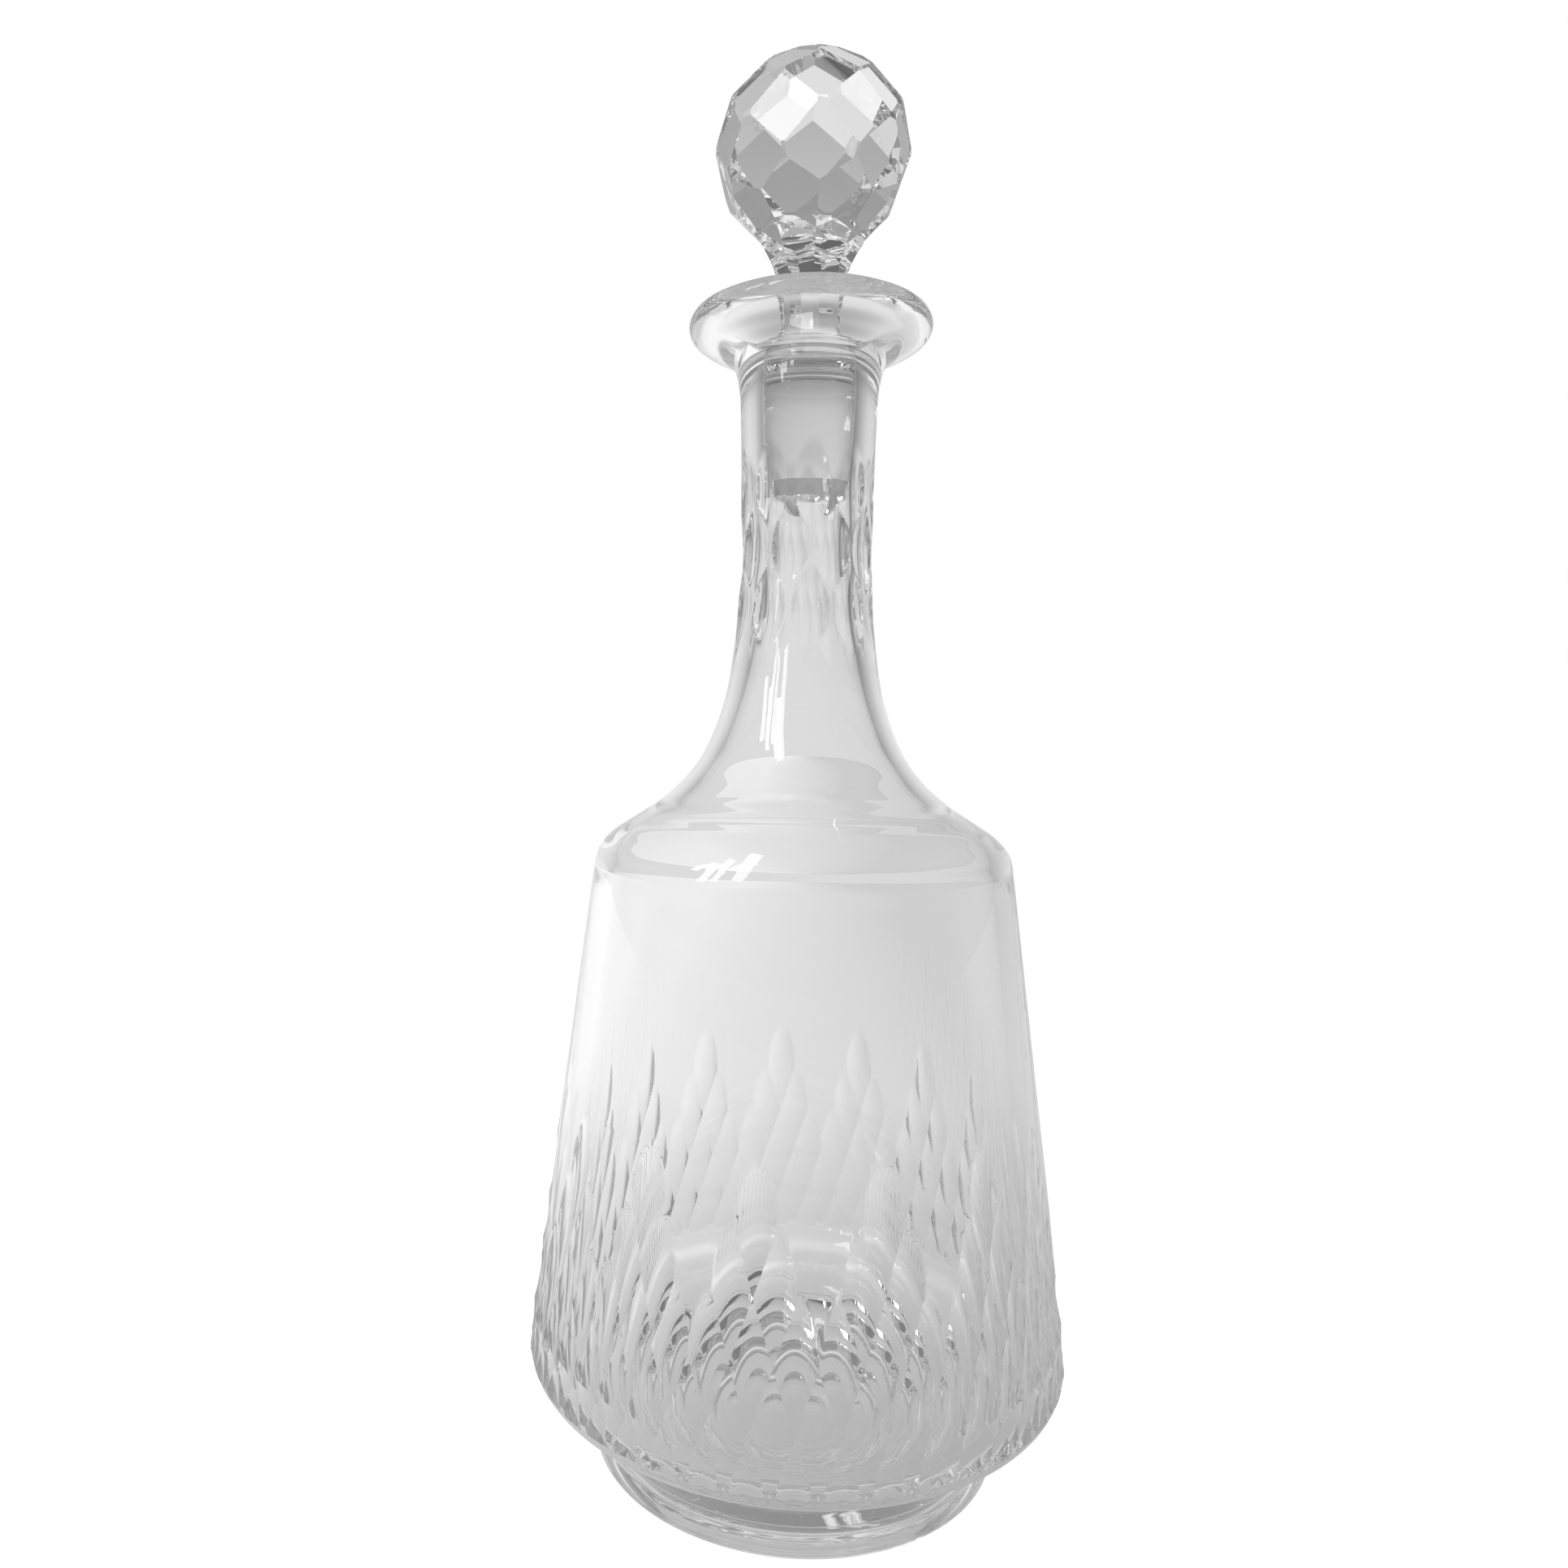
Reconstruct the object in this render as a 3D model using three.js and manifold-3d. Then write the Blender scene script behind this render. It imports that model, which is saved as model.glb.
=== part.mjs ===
// Cut crystal decanter with its ground-in stopper. Millimetres, +Z up.
// The origin is the centre of the face that the foot stands on.
import * as THREE from "three";
import { mergeVertices } from "three/addons/utils/BufferGeometryUtils.js";
import Module from "manifold-3d";

const wasm = await Module();
wasm.setup();

// Driving dimensions
const FOOT_R = 45; // radius of the foot
const FOOT_RIM_H = 6.2; // height of the foot's rim
const WAIST = [38.6, 10]; // radius and height of the waist above the foot
const BELLY_R = 60.2; // widest radius, at the lower corner of the body
const BELLY_Z = 23;
const SIDE_LOW = [59, 36.8]; // the side is a straight taper between these two
const SIDE_HIGH = [47.3, 129.8];
const NECK_R = 14.95; // narrowest outer radius of the neck
const LIP_R = 27.3; // radius of the flanged lip
const LIP_TOP = 255.2; // height of the lip
const FLOOR_Z = 4.8; // middle of the inner floor, which dips into the foot
const BORE_TOP = 246; // where the tapered seat for the stopper starts
const BORE_TOP_R = 11;
const SEAT_END = 215; // where the tapered seat ends
const BORE_LOW_R = 9.6;
const PUNTY_R = 17; // polished hollow under the foot
const PUNTY_DEPTH = 1.4;
const EDGE = 1.2; // rounding of the foot's two edges

const SEAT_GAP = 0.3; // between the plug and its seat
const PLUG_END = 213.2; // lower end of the stopper
const PLUG_END_R = 7.4; // radius of its flat end
const PLUG_BEVEL = 3.4; // height of the bevel at that end
const GROUND_TOP = 240; // the plug is ground to its seat up to here
const PLUG_TOP = 245;
const COLLAR_R = 12.2; // collar above the plug
const COLLAR_Z = 248.6;
const NECK_START = [9.4, 249.8]; // radius and height where the stopper's neck leaves the collar
const BALL_R = 21.9; // radius of the stopper's ball before cutting
const BALL_Z = 290.9; // height of the ball's centre
const BALL_START = -57; // latitude where the neck runs into the ball
const CUTTER = 60; // side of the blocks that cut the facets and flutes
const CUTS_AROUND = 8; // facets in each row, and flutes round the stopper's neck
const CUT_TURN = 4.7; // degrees that the cuts are turned from facing -Y

// Facet rows of the ball: latitude in degrees, share of a step that they are turned,
// and distance of their plane from the centre / BALL_R
const FACET_ROWS = [
  { latitude: -19.5, turn: 0, depth: 0.939 },
  { latitude: 2, turn: 0.5, depth: 0.941 },
  { latitude: 24, turn: 0, depth: 0.937 },
  { latitude: 45, turn: 0.5, depth: 0.937 },
  { latitude: 66, turn: 0, depth: 0.942 },
];
const TABLE_DEPTH = 0.955; // flat table on top of the ball

const BODY_SEGMENTS = 48;
const STOPPER_SEGMENTS = 48;

const glass = new THREE.MeshStandardMaterial({
  name: "crystal",
  color: 0xdfe2e2,
  roughness: 0.03,
  metalness: 0,
  transparent: true,
  opacity: 0.35,
});

// A smooth curve through [radius, height] points, as Vector2 points.
function smooth(points, pieces) {
  const knots = points.map(([r, z]) => new THREE.Vector3(r, z, 0));
  const curve = new THREE.CatmullRomCurve3(knots, false, "centripetal");
  return curve.getPoints(pieces).map((p) => new THREE.Vector2(p.x, p.y));
}

const straight = (points) => points.map(([r, z]) => new THREE.Vector2(r, z));

// A rounded edge: part of a circle in the radius-height plane, angles in degrees.
function arc(r, z, radius, from, to, pieces) {
  const a = (from * Math.PI) / 180;
  const b = (to * Math.PI) / 180;
  const curve = new THREE.EllipseCurve(r, z, radius, radius, a, b, b < a);
  return curve.getPoints(pieces);
}

// Turns an outline about the vertical axis.
function turned(outline, segments) {
  const points = outline.filter((p, i) => !i || p.distanceTo(outline[i - 1]) > 1e-6);
  return new THREE.LatheGeometry(points, segments).rotateX(Math.PI / 2);
}

function solid(geometry) {
  const bare = geometry.clone();
  bare.deleteAttribute("normal");
  bare.deleteAttribute("uv");
  const merged = mergeVertices(bare, 1e-4);
  return new wasm.Manifold(
    new wasm.Mesh({
      numProp: 3,
      vertProperties: new Float32Array(merged.attributes.position.array),
      triVerts: new Uint32Array(merged.index.array),
    }),
  );
}

function geometryOf(body) {
  const mesh = body.getMesh();
  const geometry = new THREE.BufferGeometry();
  geometry.setAttribute("position", new THREE.BufferAttribute(mesh.vertProperties, 3));
  geometry.setIndex(new THREE.BufferAttribute(mesh.triVerts, 1));
  geometry.computeVertexNormals();
  return geometry;
}

// The outside of the decanter, from the middle of its underside up to the lip.
function outsideOutline() {
  const hollow = [
    [0, PUNTY_DEPTH],
    [PUNTY_R * 0.5, PUNTY_DEPTH * 0.75],
    [PUNTY_R, 0],
  ];
  const foot = [
    ...arc(FOOT_R - EDGE, EDGE, EDGE, -90, 0, 3),
    ...arc(FOOT_R - EDGE, FOOT_RIM_H - EDGE, EDGE, 0, 90, 3),
  ];
  const belly = smooth(
    [
      [FOOT_R - EDGE, FOOT_RIM_H],
      [41, 7.4],
      WAIST,
      [43, 14.2],
      [51.6, 16.1],
      [57.8, 18.9],
      [BELLY_R, BELLY_Z],
      [60.1, 28.5],
      SIDE_LOW,
    ],
    16,
  );
  const shoulder = smooth(
    [
      SIDE_HIGH,
      [46.4, 134.4],
      [43.6, 138],
      [39, 141.2],
      [33.3, 144.9],
      [27.6, 149.8],
      [23.4, 155.1],
      [20.2, 161.8],
      [17.7, 169.8],
      [15.9, 181.8],
      [NECK_R, 196.8],
      [NECK_R, 212.8],
      [15.3, 230.8],
      [15.8, 239],
      [17.3, 244.1],
      [20.8, 246.9],
      [24.4, 248.7],
      [26.8, 250.5],
      [LIP_R, 252.2],
      [26.5, 254],
      [24.4, LIP_TOP],
    ],
    30,
  );
  return [...straight(hollow), ...foot, ...belly, ...shoulder];
}

// The inside, from the lip down through the mouth, the seat and the shoulder to the floor.
function insideOutline() {
  const mouth = smooth(
    [
      [22.6, LIP_TOP - 0.3],
      [18.6, 253.3],
      [15, 250.8],
      [12.8, 248.4],
      [BORE_TOP_R, BORE_TOP],
    ],
    6,
  );
  const hollow = smooth(
    [
      [BORE_LOW_R, SEAT_END],
      [9.5, 202],
      [10.4, 188],
      [12.6, 175],
      [15.4, 164.5],
      [18.8, 156.4],
      [23.2, 149.6],
      [28.8, 144.2],
      [34.6, 140.2],
      [39.6, 136.2],
      [42.4, 131.8],
      [43.1, 126],
    ],
    14,
  );
  const floor = smooth(
    [
      [52.8, 36],
      [52.9, 28],
      [52.1, 22.6],
      [49.2, 19.3],
      [44.5, 17.4],
      [38, 14.8],
      [32, 11.8],
      [28.8, 8.8],
      [27, 6.4],
      [25, 5.2],
      [20, FLOOR_Z + 0.1],
      [0, FLOOR_Z],
    ],
    18,
  );
  return [...mouth, ...hollow, ...floor];
}

// The stopper before it is cut: plug, collar, a plain neck and a ball.
function stopperBlank() {
  const taper = (BORE_TOP_R - BORE_LOW_R) / (BORE_TOP - SEAT_END);
  const plugR = (z) => BORE_TOP_R - SEAT_GAP - taper * (BORE_TOP - z);
  const bevelTop = PLUG_END + PLUG_BEVEL;
  const plug = straight([
    [0, PLUG_END],
    [PLUG_END_R, PLUG_END],
    [plugR(bevelTop) - 0.5, bevelTop - 0.9],
    [plugR(bevelTop), bevelTop],
    [plugR(GROUND_TOP), GROUND_TOP],
    [plugR(PLUG_TOP), PLUG_TOP],
  ]);
  const collar = straight([
    [COLLAR_R - 0.9, COLLAR_Z - 1.4],
    [COLLAR_R, COLLAR_Z - 0.5],
    [COLLAR_R - 0.3, COLLAR_Z],
    NECK_START,
  ]);
  const ball = arc(0, BALL_Z, BALL_R, BALL_START, 90, 22);
  const neck = smooth(
    [
      NECK_START,
      [8.2, 254],
      [8.4, 261],
      [ball[0].x, ball[0].y],
    ],
    8,
  );
  return solid(turned([...plug, ...collar, ...neck, ...ball], STOPPER_SEGMENTS));
}

// A block that cuts one concave flute along the stopper's neck and up into the ball.
function fluteCutter() {
  const bottom = 249.4;
  const top = 285;
  const face = smooth(
    [
      [7.9, bottom],
      [6.9, 252.5],
      [6.4, 256.8],
      [6.7, 261],
      [7.6, 264.9],
      [9.3, 269],
      [11.8, 273.1],
      [14.4, 276.1],
      [19.4, 281],
      [23.4, top],
    ],
    20,
  );
  const outline = new THREE.Shape([...face, ...straight([[CUTTER, top], [CUTTER, bottom]])]);
  const block = new THREE.ExtrudeGeometry(outline, { depth: CUTTER, bevelEnabled: false });
  return block.translate(0, 0, -CUTTER / 2).rotateX(Math.PI / 2);
}

// A block whose lower face is the plane that cuts one facet; its normal starts along +X.
function facetCutter(distance) {
  return new THREE.BoxGeometry(CUTTER, CUTTER, CUTTER).translate(distance + CUTTER / 2, 0, 0);
}

function cutStopper() {
  const step = (2 * Math.PI) / CUTS_AROUND;
  const facing = -Math.PI / 2 + (CUT_TURN * Math.PI) / 180;
  let stopper = stopperBlank();
  for (let i = 0; i < CUTS_AROUND; i++) {
    const flute = fluteCutter().rotateZ(facing + (i + 0.5) * step);
    stopper = stopper.subtract(solid(flute));
    for (const row of FACET_ROWS) {
      const facet = facetCutter(BALL_R * row.depth)
        .rotateY((-row.latitude * Math.PI) / 180)
        .rotateZ(facing + (i + row.turn) * step)
        .translate(0, 0, BALL_Z);
      stopper = stopper.subtract(solid(facet));
    }
  }
  const table = facetCutter(BALL_R * TABLE_DEPTH).rotateY(-Math.PI / 2).translate(0, 0, BALL_Z);
  return geometryOf(stopper.subtract(solid(table)));
}

const decanter = new THREE.Group();

const body = new THREE.Mesh(turned([...outsideOutline(), ...insideOutline()], BODY_SEGMENTS), glass);
body.name = "decanter_body";

const stopper = new THREE.Mesh(cutStopper(), glass);
stopper.name = "stopper";

decanter.add(body, stopper);
export default decanter;
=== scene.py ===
"""Cut crystal decanter with its facet-cut ball stopper, for Blender 4.5, around the CAD frame.

Lengths in this file are millimetres of the decanter's design; MM turns them into metres.
Angles round the axis are measured from the side that faces the camera, -Y, towards +X.
"""

import math

import bmesh
import bpy
import numpy as np
from mathutils import Matrix, Vector

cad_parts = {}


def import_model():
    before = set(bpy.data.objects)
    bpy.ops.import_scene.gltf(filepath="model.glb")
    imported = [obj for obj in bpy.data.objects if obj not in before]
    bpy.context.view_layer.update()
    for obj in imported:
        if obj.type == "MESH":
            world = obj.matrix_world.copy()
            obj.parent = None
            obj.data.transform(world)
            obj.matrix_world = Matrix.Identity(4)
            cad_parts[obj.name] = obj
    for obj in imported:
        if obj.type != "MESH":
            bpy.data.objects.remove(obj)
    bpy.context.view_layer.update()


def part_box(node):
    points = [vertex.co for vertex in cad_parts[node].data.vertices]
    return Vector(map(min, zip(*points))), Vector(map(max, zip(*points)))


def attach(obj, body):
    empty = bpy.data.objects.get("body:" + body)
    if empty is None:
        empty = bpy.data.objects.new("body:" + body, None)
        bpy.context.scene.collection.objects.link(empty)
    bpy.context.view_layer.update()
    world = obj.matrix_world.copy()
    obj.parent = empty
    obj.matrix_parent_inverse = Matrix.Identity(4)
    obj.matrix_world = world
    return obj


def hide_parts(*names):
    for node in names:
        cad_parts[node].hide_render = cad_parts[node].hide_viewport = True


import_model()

# Scale of the design: the CAD decanter is LIP_TOP tall from its foot to its lip.
LIP_TOP = 255.2
BODY_LOW, BODY_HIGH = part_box("decanter_body")
MM = (BODY_HIGH.z - BODY_LOW.z) / LIP_TOP
TAU = 2 * math.pi

# Outline of the decanter, as in the CAD model: [radius, height]
FOOT_R = 45.0
FOOT_RIM_H = 6.2
EDGE = 1.2
PUNTY_R = 17.0
PUNTY_DEPTH = 1.4
SIDE_LOW = (59.0, 36.8)
SIDE_HIGH = (47.3, 129.8)
BELLY = [
    (FOOT_R - EDGE, FOOT_RIM_H), (41, 7.4), (38.6, 10), (43, 14.2), (51.6, 16.1),
    (57.8, 18.9), (60.2, 23), (60.1, 28.5), SIDE_LOW,
]
SHOULDER = [
    SIDE_HIGH, (46.4, 134.4), (43.6, 138), (39, 141.2), (33.3, 144.9), (27.6, 149.8),
    (23.4, 155.1), (20.2, 161.8), (17.7, 169.8), (15.9, 181.8), (14.95, 196.8), (14.95, 212.8),
    (15.3, 230.8), (15.8, 239), (17.3, 244.1), (20.8, 246.9), (24.4, 248.7), (26.8, 250.5),
    (27.3, 252.2), (26.5, 254), (24.4, LIP_TOP),
]
BORE_TOP = (11.0, 246.0)
SEAT_END = (9.6, 215.0)
MOUTH = [(22.6, LIP_TOP - 0.3), (18.6, 253.3), (15, 250.8), (12.8, 248.4), BORE_TOP]
FUNNEL = [
    SEAT_END, (9.5, 202), (10.4, 188), (12.6, 175), (15.4, 164.5), (18.8, 156.4), (23.2, 149.6),
    (28.8, 144.2), (34.6, 140.2), (39.6, 136.2), (42.4, 131.8), (43.1, 126),
]
FLOOR = [
    (52.8, 36), (52.9, 28), (52.1, 22.6), (49.2, 19.3), (44.5, 17.4), (38, 14.8), (32, 11.8),
    (28.8, 8.8), (27, 6.4), (25, 5.2), (20, 4.9), (10, 4.8), (0, 4.8),
]

# Cuts round the belly: leaf-shaped hollows in staggered rows. The top row has every third leaf and
# the next row two leaves in three, which gives the cutting a festooned upper edge.
LEAF_COUNT = 45
LEAF_PITCH = TAU / LEAF_COUNT
LEAF_TOP = 80.7
LEAF_ROW = 12.0
LEAF_ROWS = 6
LEAF_DEPTH = 1.0
LEAF_PHASE = math.radians(9.1)
LEAF_WANDER = math.radians(0.7)
WANDERS = 4
LEAF_GRID = 8
FESTOON = 3
RIDGE_ANGLE = math.radians(14)
LEAF_MARGIN = 1.5

# Cuts on the neck: olives in three staggered rows
OLIVE_COUNT = 10
OLIVE_PITCH = TAU / OLIVE_COUNT
OLIVE_ROWS = (214.8, 201.3, 187.9)
OLIVE_HALF = (4.1, 9.4)
OLIVE_DEPTH = 0.95
OLIVE_PHASE = math.radians(4.2)
OLIVE_ZONE = (176.0, 226.0)
OLIVE_STEP = 0.75

# Stopper
SEAT_GAP = 0.3
PLUG_END = 213.2
PLUG_END_R = 7.4
PLUG_BEVEL = 3.4
GROUND_TOP = 240.0
PLUG_TOP = 245.0
COLLAR_R = 12.2
COLLAR_Z = 248.6
STEM_START = (9.4, 249.8)
BALL_R = 21.9
BALL_Z = 290.9
BALL_START = math.radians(-57)
CUTS_AROUND = 8
CUT_TURN = math.radians(4.7)
# latitude in degrees, share of a step that the row is turned, distance of its plane / BALL_R
FACET_ROWS = ((-19.5, 0, 0.939), (2, 0.5, 0.941), (24, 0, 0.937), (45, 0.5, 0.937), (66, 0, 0.942))
TABLE_DEPTH = 0.955
FACET_ANGLE = math.radians(9)
CUTTER = 60.0
FLUTE = [
    (7.9, 249.4), (6.9, 252.5), (6.4, 256.8), (6.7, 261), (7.6, 264.9), (9.3, 269),
    (11.8, 273.1), (14.4, 276.1), (19.4, 281), (23.4, 285),
]

# Camera, in the frame's own axes
CAMERA_AT = (0.0, -262.36, 157.72)
CAMERA_YAW = -4.942
CAMERA_PITCH = 1.8675
CAMERA_ROLL = 0.8514
CAMERA_LENS = 26.22
CAMERA_SENSOR = 36.0
CAMERA_SHIFT = 0.0514
CAMERA_NEAR = 0.01

# Glass
GLASS_COLOUR = (0.99, 0.99, 0.99, 1)
GLASS_IOR = 1.54
WEAR_SCALE = 60
ABSORPTION = (1.2, (0.9, 0.9, 0.9))
BOUNCES = 64

# Tones of the room by direction: (z, y or x of the direction, tone), multiplied together
ROOM_BY_HEIGHT = (
    (-1, 0.6), (0, 0.84), (0.17, 0.84), (0.3, 0.74), (0.45, 0.46), (0.87, 0.26), (1, 0.2),
)
ROOM_BY_DEPTH = ((-1, 0.2), (-0.2, 0.6), (0.25, 1), (1, 1))
ROOM_BY_SIDE = ((-1, 0.3), (-0.65, 0.85), (-0.3, 1), (0, 0.98), (0.4, 0.84), (0.7, 0.6), (1, 0.2))
# Painted light and shade in the floor's glow seen through the glass, by metres from its middle
# painted light: brighter to the left, darker to the right
FLOOR_PAINTED_LIGHT_BY_SIDE = ((-1, 0.95), (-0.12, 0.92), (0.12, 0.62), (1, 0.52))
# painted shadow: darker towards the camera and under the decanter, bright behind it
FLOOR_PAINTED_SHADOW_BY_DEPTH = ((-1, 0.3), (-0.2, 0.42), (-0.04, 0.56), (0.08, 0.76), (0.24, 0.97), (1, 1))
# Panes of one soft window: name, place along X, width
WINDOW_PANES = (("pane_left", -1.2, 0.14), ("pane_middle", -0.9, 0.1), ("pane_right", -0.55, 0.14))
PANE_HEIGHT = 0.6
PANE_AT = (-0.7, 1.0)
PANE_AIM = (0, 0, 0.15)
PANE_POWER = 11
FLOOR_SEEN = 1.0
FLOOR_ALBEDO = 0.2
FLOOR_ROUGHNESS = 0.8
FLOOR_HALF = 6
FLOOR_DROP = 0.0001


def smooth(knots, steps):
    """Centripetal Catmull-Rom curve through (radius, height) knots, with `steps` points a span."""
    k = np.array(knots, float)
    k = np.vstack([2 * k[0] - k[1], k, 2 * k[-1] - k[-2]])
    t = np.linspace(0, 1, steps, endpoint=False)[:, None]
    spans = []
    for a, b, c, d in zip(k, k[1:], k[2:], k[3:]):
        before, here, after = (np.linalg.norm(q - p) ** 0.5 for p, q in ((a, b), (b, c), (c, d)))
        leave = here * ((b - a) / before - (c - a) / (before + here) + (c - b) / here)
        arrive = here * ((c - b) / here - (d - b) / (here + after) + (d - c) / after)
        spans.append(
            (2 * t**3 - 3 * t**2 + 1) * b
            + (t**3 - 2 * t**2 + t) * leave
            + (3 * t**2 - 2 * t**3) * c
            + (t**3 - t**2) * arrive
        )
    return np.vstack(spans + [k[-2:-1]])


def arc(radius, height, bend, start, end, steps):
    """Part of a circle in the radius-height plane, angles in degrees."""
    a = np.radians(np.linspace(start, end, steps + 1))
    return np.column_stack([radius + bend * np.cos(a), height + bend * np.sin(a)])


def line(start, end, steps):
    """Evenly spaced points of a straight line."""
    return np.linspace(start, end, steps + 1)


class Skin:
    """Rings of points round the axis, joined into one mesh. A ring of one point is a pole."""

    def __init__(self):
        self.points = []
        self.faces = []
        self.finishes = []
        self.last = None

    def ring(self, radii, height, count, finish=0, turn=None, slant=None):
        """Adds a ring; `turn` moves its points round it, `slant` says how its faces are split."""
        if turn is None:
            turn = np.arange(count) / count * TAU
        radii = np.broadcast_to(radii, count)
        heights = np.broadcast_to(height, count)
        first = len(self.points)
        self.points += [
            (r * math.sin(a), -r * math.cos(a), z) for r, a, z in zip(radii, turn, heights)
        ]
        if self.last:
            self.join(self.last, (first, count), finish, slant)
        self.last = (first, count)

    def pole(self, height, finish=0):
        first = len(self.points)
        self.points.append((0.0, 0.0, height))
        if self.last:
            self.join(self.last, (first, 1), finish)
        self.last = (first, 1)

    def join(self, low, high, finish, slant=None):
        """Faces between two rings; where one has more points, each coarse side gets a fan."""
        (a, n), (b, m) = low, high
        made = []
        if n == 1:
            made = [(a, b + (i + 1) % m, b + i) for i in range(m)]
        elif m == 1:
            made = [(a + i, a + (i + 1) % n, b) for i in range(n)]
        elif n == m and slant is not None:
            for i in range(n):
                j = (i + 1) % n
                if slant[i]:
                    made += [(a + i, a + j, b + j), (a + i, b + j, b + i)]
                else:
                    made += [(a + i, a + j, b + i), (a + j, b + j, b + i)]
        elif n == m:
            made = [(a + i, a + (i + 1) % n, b + (i + 1) % n, b + i) for i in range(n)]
        elif m > n:
            k = m // n
            for i in range(n):
                fan = [b + (i * k + j) % m for j in range(k + 1)]
                made += [(a + i, q, p) for p, q in zip(fan, fan[1:])]
                made.append((a + i, a + (i + 1) % n, fan[-1]))
        else:
            k = n // m
            for i in range(m):
                fan = [a + (i * k + j) % n for j in range(k + 1)]
                made += [(p, q, b + i) for p, q in zip(fan, fan[1:])]
                made.append((fan[-1], b + (i + 1) % m, b + i))
        self.faces += made
        self.finishes += [finish] * len(made)

    def mesh(self, name):
        mesh = bpy.data.meshes.new(name)
        mesh.from_pydata([(x * MM, y * MM, z * MM) for x, y, z in self.points], [], self.faces)
        mesh.polygons.foreach_set("material_index", self.finishes)
        mesh.shade_smooth()
        mesh.validate()
        return mesh


# ---------------------------------------------------------------- the decanter

COARSE = 180
STEM_COLUMNS = 128
GROUND = 1


def side_radius(z):
    """Radius of the straight taper, carried on below the belly's corner."""
    (r0, z0), (r1, z1) = SIDE_LOW, SIDE_HIGH
    return r0 + (r1 - r0) * (z - z0) / (z1 - z0)


def leaf_depth(angle, z):
    """Depth of the deepest leaf cut at each angle of the ring at height z."""
    depth = np.zeros_like(angle)
    for row in range(LEAF_ROWS):
        centre = LEAF_TOP - LEAF_ROW * (row + 1)
        y = (z - centre) / LEAF_ROW
        if abs(y) >= 1:
            continue
        place = angle / LEAF_PITCH - (row % 2) / 2
        number = np.round(place)
        x = (place - number) * 2
        cut = LEAF_DEPTH * (1 - x**2 - y**2)
        if row == 0:
            cut = np.where(number % FESTOON == 1, cut, 0)
        if row == 1:
            cut = np.where(number % FESTOON == 2, 0, cut)
        depth = np.maximum(depth, cut)
    return depth


def olive_depth(angle, z, radius):
    """Depth of the deepest olive at each angle of the neck at height z."""
    depth = np.zeros_like(angle)
    for row, centre in enumerate(OLIVE_ROWS):
        y = (z - centre) / OLIVE_HALF[1]
        if abs(y) >= 1:
            continue
        place = (angle - OLIVE_PHASE) / OLIVE_PITCH + (row % 2) / 2
        x = (place - np.round(place)) * OLIVE_PITCH * radius / OLIVE_HALF[0]
        depth = np.maximum(depth, OLIVE_DEPTH * ((1 - y**2) ** 1.5 - x**2))
    return depth


def decanter_mesh():
    """The decanter's whole skin: underside, outside, lip, and inside down to the floor."""
    skin = Skin()
    skin.pole(PUNTY_DEPTH)
    for r in np.linspace(0, PUNTY_R, 13)[1:]:
        skin.ring(r, PUNTY_DEPTH * (1 - (r / PUNTY_R) ** 2), COARSE)
    outline = [*line((PUNTY_R + 0.5, 0), (FOOT_R - EDGE - 0.5, 0), 6)]
    outline += [*arc(FOOT_R - EDGE, EDGE, EDGE, -90, 0, 8)]
    outline += [*line((FOOT_R, EDGE + 0.3), (FOOT_R, FOOT_RIM_H - EDGE - 0.3), 3)]
    outline += [*arc(FOOT_R - EDGE, FOOT_RIM_H - EDGE, EDGE, 0, 90, 8)]
    belly = smooth(BELLY, 10)
    zone_low = LEAF_TOP - (LEAF_ROWS - 1) * LEAF_ROW
    outline += [p for p in belly[1:] if p[1] < zone_low - 0.2]
    for r, z in outline:
        skin.ring(r, z, COARSE)
    add_leaf_zone(skin, belly, zone_low)
    above_leaves = LEAF_TOP + LEAF_MARGIN
    for r, z in line((side_radius(above_leaves), above_leaves), SIDE_HIGH, 40):
        skin.ring(r, z, COARSE)
    shoulder = smooth(SHOULDER, 8)
    add_shoulder(skin, shoulder)
    for r, z in smooth(MOUTH, 6):
        skin.ring(r, z, COARSE)
    for r, z in line(BORE_TOP, SEAT_END, 16)[1:]:
        skin.ring(r, z, COARSE, GROUND)
    for r, z in smooth(FUNNEL, 8)[1:]:
        skin.ring(r, z, COARSE)
    for r, z in line(FUNNEL[-1], FLOOR[0], 30)[1:-1]:
        skin.ring(r, z, COARSE)
    for r, z in smooth(FLOOR, 10)[:-1]:
        skin.ring(r, z, COARSE)
    skin.pole(FLOOR[-1][1])
    return skin.mesh("decanter_glass")


def add_leaf_zone(skin, belly, low):
    """The leaf cuts, on a grid of points whose faces are split along the ridges between leaves."""
    count = LEAF_COUNT * 2 * LEAF_GRID
    step = TAU / count
    column = np.arange(count) - round(LEAF_PHASE / step)
    angle = column * step
    turn = angle + LEAF_PHASE + LEAF_WANDER * np.sin(WANDERS * angle)
    for i in range(round((LEAF_TOP - low) / LEAF_ROW * LEAF_GRID) + 1):
        z = low + i * LEAF_ROW / LEAF_GRID
        plain = np.interp(z, belly[:, 1], belly[:, 0]) if z < SIDE_LOW[1] else side_radius(z)
        cut = side_radius(z) - leaf_depth(angle, z)
        slant = (column // LEAF_GRID + (i - 1) // LEAF_GRID) % 2 == 1
        skin.ring(np.minimum(plain, cut), z, count, turn=turn, slant=slant)


def add_shoulder(skin, shoulder):
    """Shoulder, neck and lip; the neck's olives need finer rings than the rest."""
    low, high = OLIVE_ZONE
    for r, z in shoulder[1:]:
        if z < low:
            skin.ring(r, z, COARSE)
    heights = np.arange(low, high, OLIVE_STEP)
    count = 2 * COARSE
    angle = np.arange(count) / count * TAU
    for z in heights:
        radius = np.interp(z, shoulder[:, 1], shoulder[:, 0])
        skin.ring(radius - olive_depth(angle, z, radius), z, count)
    for r, z in shoulder[1:]:
        if z > high:
            skin.ring(r, z, COARSE)


# ---------------------------------------------------------------- the stopper


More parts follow.
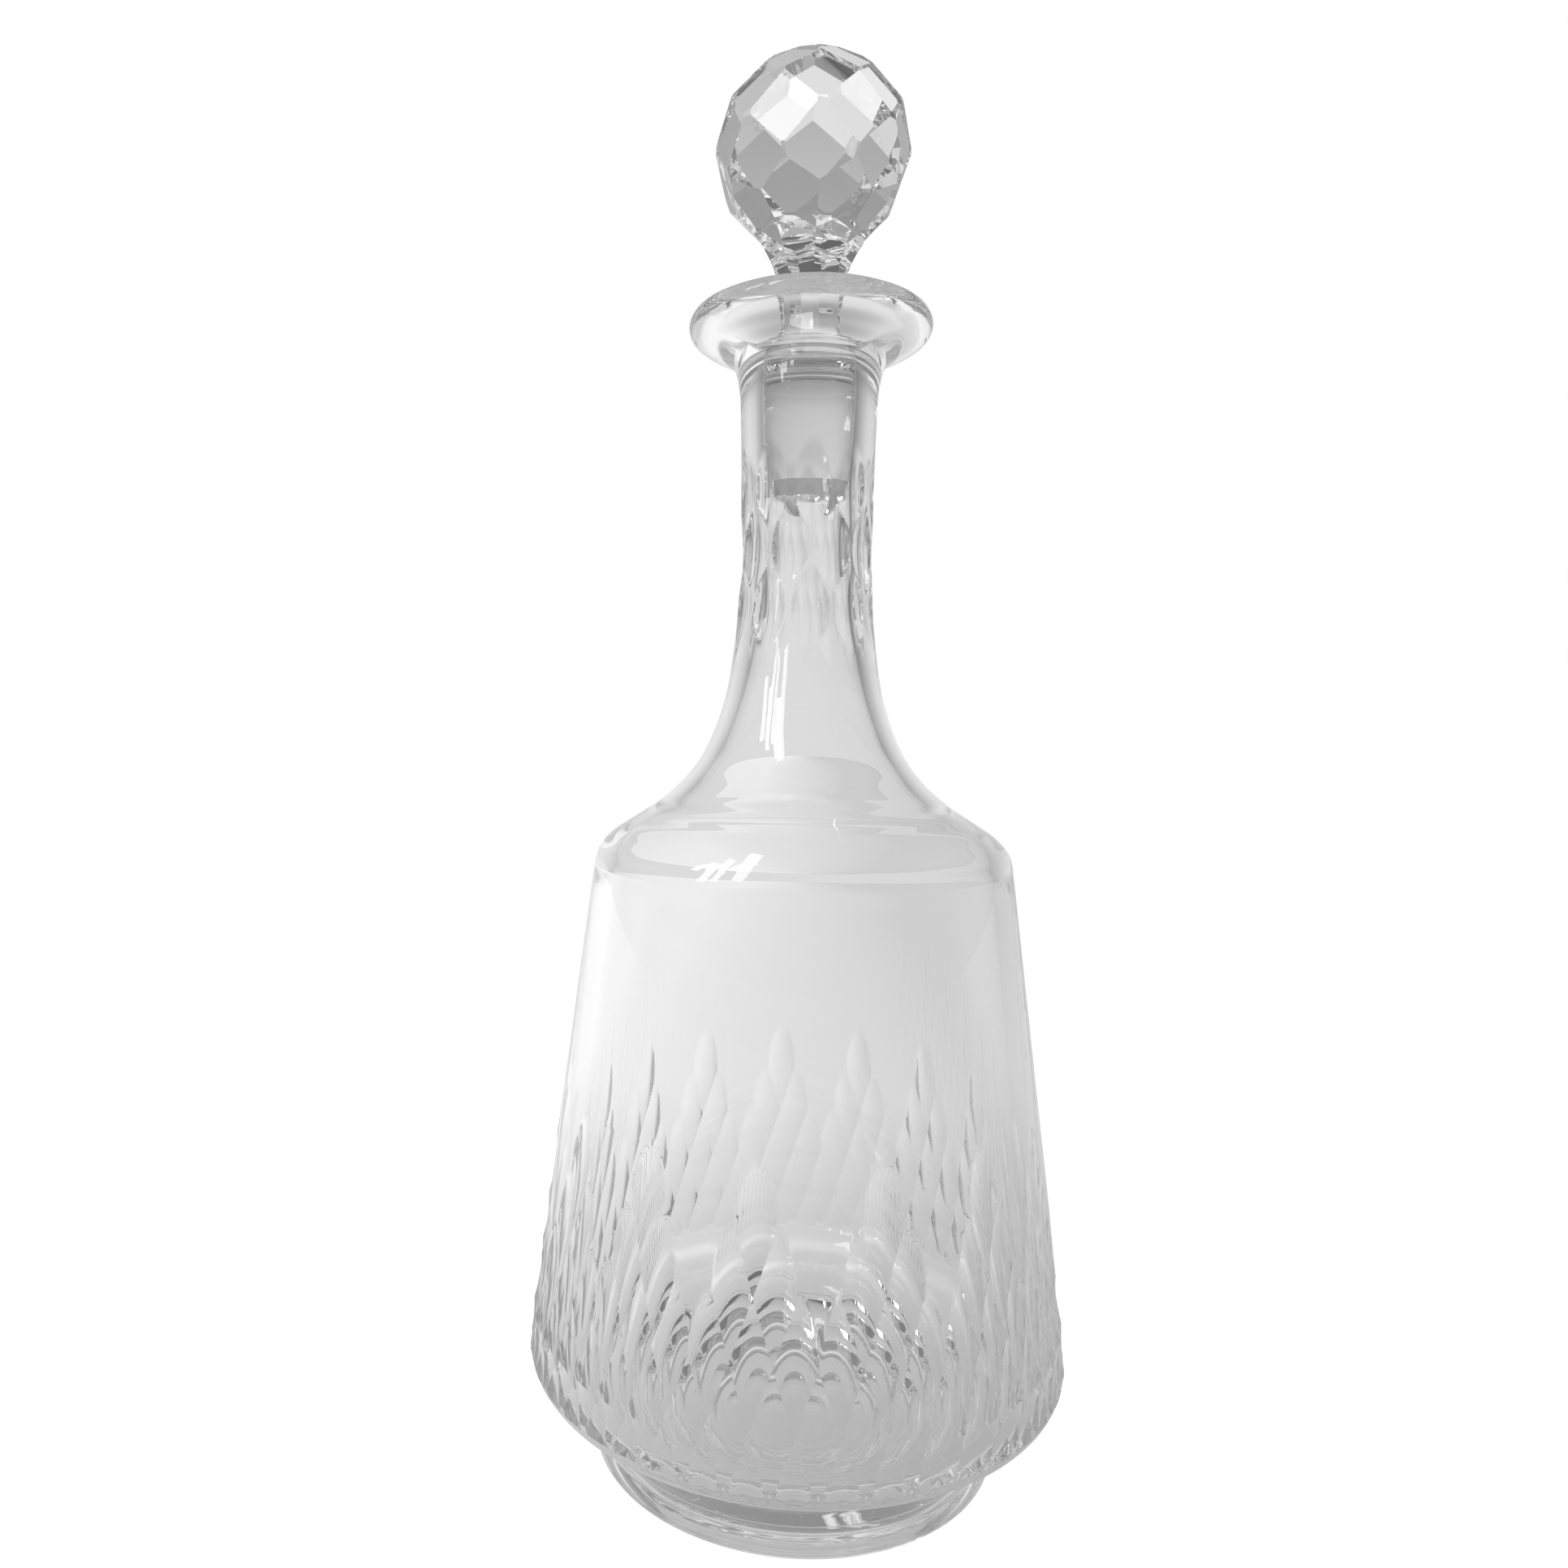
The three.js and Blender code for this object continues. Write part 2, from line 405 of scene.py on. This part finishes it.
def plug_radius(z):
    """Radius of the ground plug, which follows the taper of its seat."""
    taper = (BORE_TOP[0] - SEAT_END[0]) / (BORE_TOP[1] - SEAT_END[1])
    return BORE_TOP[0] - SEAT_GAP - taper * (BORE_TOP[1] - z)


def stem_mesh():
    """Plug, collar and plain stem, closed inside the ball."""
    count = STEM_COLUMNS
    bevel_top = PLUG_END + PLUG_BEVEL
    skin = Skin()
    skin.pole(PLUG_END)
    for r in (PLUG_END_R * 0.5, PLUG_END_R):
        skin.ring(r, PLUG_END, count)
    skin.ring(plug_radius(bevel_top) - 0.5, bevel_top - 0.9, count)
    skin.ring(plug_radius(bevel_top), bevel_top, count)
    for z in np.linspace(bevel_top, GROUND_TOP, 12)[1:]:
        skin.ring(plug_radius(z), z, count, GROUND)
    skin.ring(plug_radius(PLUG_TOP), PLUG_TOP, count)
    for r, z in (
        (COLLAR_R - 0.9, COLLAR_Z - 1.4),
        (COLLAR_R - 0.25, COLLAR_Z - 0.9),
        (COLLAR_R, COLLAR_Z - 0.5),
        (COLLAR_R - 0.3, COLLAR_Z),
        STEM_START,
    ):
        skin.ring(r, z, count)
    foot = BALL_R * np.array((math.cos(BALL_START), math.sin(BALL_START)))
    for r, z in smooth([STEM_START, (8.2, 254), (8.4, 261), (foot[0], BALL_Z + foot[1])], 6)[1:]:
        skin.ring(r, z, count)
    skin.pole(BALL_Z - BALL_R / 2)
    return skin.mesh("stopper_glass")


def ball_mesh():
    """A ball of glass cut by one plane for each facet."""
    skin = Skin()
    skin.pole(BALL_Z - BALL_R)
    for r, z in arc(0, BALL_Z, BALL_R, -90, 90, COARSE // 2)[1:-1]:
        skin.ring(r, z, COARSE)
    skin.pole(BALL_Z + BALL_R)
    mesh = skin.mesh("ball")
    step = TAU / CUTS_AROUND
    planes = [(math.pi / 2, 0.0, TABLE_DEPTH)]
    for latitude, turn, depth in FACET_ROWS:
        for i in range(CUTS_AROUND):
            planes.append((math.radians(latitude), CUT_TURN + (i + turn) * step, depth))
    bm = bmesh.new()
    bm.from_mesh(mesh)
    for latitude, angle, depth in planes:
        flat = math.cos(latitude)
        normal = Vector((flat * math.sin(angle), -flat * math.cos(angle), math.sin(latitude)))
        cut = bmesh.ops.bisect_plane(
            bm,
            geom=[*bm.verts, *bm.edges, *bm.faces],
            plane_co=Vector((0, 0, BALL_Z * MM)) + normal * BALL_R * MM * depth,
            plane_no=normal,
            clear_outer=True,
            dist=1e-7,
        )
        rim = [e for e in cut["geom_cut"] if isinstance(e, bmesh.types.BMEdge)]
        bmesh.ops.contextual_create(bm, geom=rim)
    bm.to_mesh(mesh)
    bm.free()
    return mesh


def flute_cutter(angle):
    """A block whose curved inner face cuts one flute along the stem and up into the ball."""
    face = smooth(FLUTE, 6)
    section = [*map(tuple, face), (CUTTER, face[-1][1]), (CUTTER, face[0][1])]
    bm = bmesh.new()
    side = []
    for across in (-CUTTER / 2, CUTTER / 2):
        side.append([bm.verts.new((r * MM, across * MM, z * MM)) for r, z in section])
    bm.faces.new(side[0])
    bm.faces.new(side[1][::-1])
    for i in range(len(section)):
        j = (i + 1) % len(section)
        bm.faces.new((side[0][j], side[0][i], side[1][i], side[1][j]))
    bmesh.ops.recalc_face_normals(bm, faces=bm.faces)
    bmesh.ops.rotate(bm, verts=bm.verts, matrix=Matrix.Rotation(angle - math.pi / 2, 3, "Z"))
    mesh = bpy.data.meshes.new("flute_cutter")
    bm.to_mesh(mesh)
    bm.free()
    return bpy.data.objects.new("flute_cutter", mesh)


def combine(piece, other, operation):
    """Joins `other` to the piece or cuts it from the piece, and removes `other`."""
    bpy.context.scene.collection.objects.link(other)
    modifier = piece.modifiers.new("combine", "BOOLEAN")
    modifier.operation = operation
    modifier.solver = "EXACT"
    modifier.object = other
    graph = bpy.context.evaluated_depsgraph_get()
    made = bpy.data.meshes.new_from_object(piece.evaluated_get(graph))
    piece.modifiers.clear()
    piece.data = made
    bpy.data.objects.remove(other)


def stopper_piece():
    """Stem and ball joined, then cut by one flute for each step round the axis."""
    piece = bpy.data.objects.new("stopper_glass", stem_mesh())
    bpy.context.scene.collection.objects.link(piece)
    combine(piece, bpy.data.objects.new("ball", ball_mesh()), "UNION")
    step = TAU / CUTS_AROUND
    for i in range(CUTS_AROUND):
        combine(piece, flute_cutter(CUT_TURN + (i + 0.5) * step), "DIFFERENCE")
    piece.data.shade_smooth()
    piece.data.set_sharp_from_angle(angle=FACET_ANGLE)
    return piece


# ---------------------------------------------------------------- finishes


def glass(name, roughness, spread, bump, bump_scale):
    """Clear glass with slight wear in its gloss and slight waves in its surface."""
    material = bpy.data.materials.new(name)
    material.use_nodes = True
    tree = material.node_tree
    nodes, links = tree.nodes, tree.links
    shader = nodes["Principled BSDF"]
    shader.inputs["Base Color"].default_value = GLASS_COLOUR
    shader.inputs["Transmission Weight"].default_value = 1
    shader.inputs["IOR"].default_value = GLASS_IOR
    place = nodes.new("ShaderNodeTexCoord")
    wear = nodes.new("ShaderNodeTexNoise")
    wear.inputs["Scale"].default_value = WEAR_SCALE
    wear.inputs["Detail"].default_value = 4
    links.new(place.outputs["Object"], wear.inputs["Vector"])
    ramp = nodes.new("ShaderNodeMapRange")
    ramp.inputs["From Min"].default_value = 0.35
    ramp.inputs["From Max"].default_value = 0.75
    ramp.inputs["To Min"].default_value = roughness
    ramp.inputs["To Max"].default_value = roughness + spread
    links.new(wear.outputs["Fac"], ramp.inputs["Value"])
    links.new(ramp.outputs["Result"], shader.inputs["Roughness"])
    waves = nodes.new("ShaderNodeTexNoise")
    waves.inputs["Scale"].default_value = bump_scale
    waves.inputs["Detail"].default_value = 2
    links.new(place.outputs["Object"], waves.inputs["Vector"])
    relief = nodes.new("ShaderNodeBump")
    relief.inputs["Strength"].default_value = bump
    relief.inputs["Distance"].default_value = 0.001
    links.new(waves.outputs["Fac"], relief.inputs["Height"])
    links.new(relief.outputs["Normal"], shader.inputs["Normal"])
    return material


def absorb(material, density, colour):
    """Gives a glass its faint grey in the thick parts."""
    tree = material.node_tree
    volume = tree.nodes.new("ShaderNodeVolumeAbsorption")
    volume.inputs["Color"].default_value = (*colour, 1)
    volume.inputs["Density"].default_value = density
    tree.links.new(volume.outputs["Volume"], tree.nodes["Material Output"].inputs["Volume"])
    return material


# ---------------------------------------------------------------- the set


def floor_piece():
    bm = bmesh.new()
    bmesh.ops.create_grid(bm, x_segments=2, y_segments=2, size=FLOOR_HALF)
    mesh = bpy.data.meshes.new("floor")
    bm.to_mesh(mesh)
    bm.free()
    floor = bpy.data.objects.new("floor", mesh)
    bpy.context.scene.collection.objects.link(floor)
    floor.location.z = BODY_LOW.z - FLOOR_DROP
    material = bpy.data.materials.new("pale_floor")
    material.use_nodes = True
    shader = material.node_tree.nodes["Principled BSDF"]
    shader.inputs["Base Color"].default_value = (FLOOR_ALBEDO, FLOOR_ALBEDO, FLOOR_ALBEDO, 1)
    shader.inputs["Roughness"].default_value = FLOOR_ROUGHNESS
    tree = material.node_tree
    # The glow seen in the glass paints light and shade on the floor; the camera sees the floor
    # plain pale.
    tone = tone_by_axis(tree, "Object", {"X": FLOOR_PAINTED_LIGHT_BY_SIDE, "Y": FLOOR_PAINTED_SHADOW_BY_DEPTH})
    tree.links.new(seen_or_not(tree, tone, FLOOR_SEEN), shader.inputs["Emission Color"])
    shader.inputs["Emission Strength"].default_value = 1
    mesh.materials.append(material)


def soft_light(name, at, aim, width, height, power):
    data = bpy.data.lights.new(name, "AREA")
    data.shape = "RECTANGLE"
    data.size = width
    data.size_y = height
    data.energy = power
    light = bpy.data.objects.new(name, data)
    bpy.context.scene.collection.objects.link(light)
    light.location = at
    light.rotation_euler = (Vector(aim) - Vector(at)).to_track_quat("-Z", "Y").to_euler()
    return light


def ramp_node(nodes, stops):
    """A grey ramp from -1 to 1: stops are (place, tone)."""
    spread = nodes.new("ShaderNodeMapRange")
    spread.inputs["From Min"].default_value = -1
    ramp = nodes.new("ShaderNodeValToRGB")
    points = ramp.color_ramp.elements
    while len(points) < len(stops):
        points.new(0.5)
    for point, (place, tone) in zip(points, stops):
        point.position = (place + 1) / 2
        point.color = (tone, tone, tone, 1)
    return spread, ramp


def tone_by_axis(tree, coordinate, stops_by_axis):
    """The product of one grey ramp along each named axis of a texture coordinate."""
    nodes, links = tree.nodes, tree.links
    place = nodes.new("ShaderNodeTexCoord")
    axes = nodes.new("ShaderNodeSeparateXYZ")
    links.new(place.outputs[coordinate], axes.inputs[0])
    total = None
    for axis, stops in stops_by_axis.items():
        spread, ramp = ramp_node(nodes, stops)
        links.new(axes.outputs[axis], spread.inputs["Value"])
        links.new(spread.outputs["Result"], ramp.inputs["Fac"])
        if total is None:
            total = ramp.outputs["Color"]
            continue
        product = nodes.new("ShaderNodeVectorMath")
        product.operation = "MULTIPLY"
        links.new(total, product.inputs[0])
        links.new(ramp.outputs["Color"], product.inputs[1])
        total = product.outputs[0]
    return total


def seen_or_not(tree, unseen, seen):
    """Plain `seen` grey where the camera looks straight at it, `unseen` in the glass."""
    nodes, links = tree.nodes, tree.links
    path = nodes.new("ShaderNodeLightPath")
    mix = nodes.new("ShaderNodeMix")
    mix.data_type = "RGBA"
    mix.inputs["B"].default_value = (seen, seen, seen, 1)
    links.new(path.outputs["Is Camera Ray"], mix.inputs["Factor"])
    links.new(unseen, mix.inputs["A"])
    return mix.outputs["Result"]


def world():
    """White to the camera. In the glass: pale behind the decanter, darker above and in front."""
    made = bpy.data.worlds.new("studio")
    made.use_nodes = True
    tree = made.node_tree
    ramps = {"Z": ROOM_BY_HEIGHT, "Y": ROOM_BY_DEPTH, "X": ROOM_BY_SIDE}
    tone = seen_or_not(tree, tone_by_axis(tree, "Generated", ramps), 1)
    tree.links.new(tone, tree.nodes["Background"].inputs["Color"])
    bpy.context.scene.world = made


def camera():
    """The camera at the place and with the lens that the decanter was seen through."""
    yaw, pitch, roll = (math.radians(a) for a in (CAMERA_YAW, CAMERA_PITCH, CAMERA_ROLL))
    base = Matrix(((1, 0, 0), (0, 0, -1), (0, 1, 0)))
    turn = Matrix(
        ((math.cos(yaw), 0, -math.sin(yaw)), (0, 1, 0), (math.sin(yaw), 0, math.cos(yaw)))
    )
    tilt = Matrix(
        ((1, 0, 0), (0, math.cos(pitch), -math.sin(pitch)), (0, math.sin(pitch), math.cos(pitch)))
    )
    lean = Matrix(
        ((math.cos(roll), -math.sin(roll), 0), (math.sin(roll), math.cos(roll), 0), (0, 0, 1))
    )
    view = lean @ tilt @ turn @ base
    data = bpy.data.cameras.new("camera")
    data.sensor_width = CAMERA_SENSOR
    data.lens = CAMERA_LENS
    data.shift_x = CAMERA_SHIFT
    data.clip_start = CAMERA_NEAR
    made = bpy.data.objects.new("camera", data)
    bpy.context.scene.collection.objects.link(made)
    pose = Matrix((view[0], -view[1], -view[2])).transposed().to_4x4()
    pose.translation = Vector(CAMERA_AT) * MM
    made.matrix_world = pose
    bpy.context.scene.camera = made


def main():
    scene = bpy.context.scene
    scene.view_settings.view_transform = "Standard"
    scene.cycles.max_bounces = BOUNCES
    scene.cycles.transmission_bounces = BOUNCES
    scene.cycles.glossy_bounces = BOUNCES
    camera()
    world()
    floor_piece()

    clear = absorb(glass("crystal_clear", 0.0, 0.02, 0.02, 40), *ABSORPTION)
    ground = absorb(glass("crystal_ground", 0.04, 0.03, 0.02, 300), *ABSORPTION)

    body = bpy.data.objects.new("decanter_glass", decanter_mesh())
    body.data.set_sharp_from_angle(angle=RIDGE_ANGLE)
    scene.collection.objects.link(body)
    body.data.materials.append(clear)
    body.data.materials.append(ground)
    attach(body, "decanter")
    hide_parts("decanter_body")

    stopper = stopper_piece()
    stopper.data.materials.clear()
    stopper.data.materials.append(clear)
    stopper.data.materials.append(ground)
    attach(stopper, "stopper")
    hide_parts("stopper")

    for name, x, width in WINDOW_PANES:
        soft_light(name, (x, *PANE_AT), PANE_AIM, width, PANE_HEIGHT, PANE_POWER * width)


main()
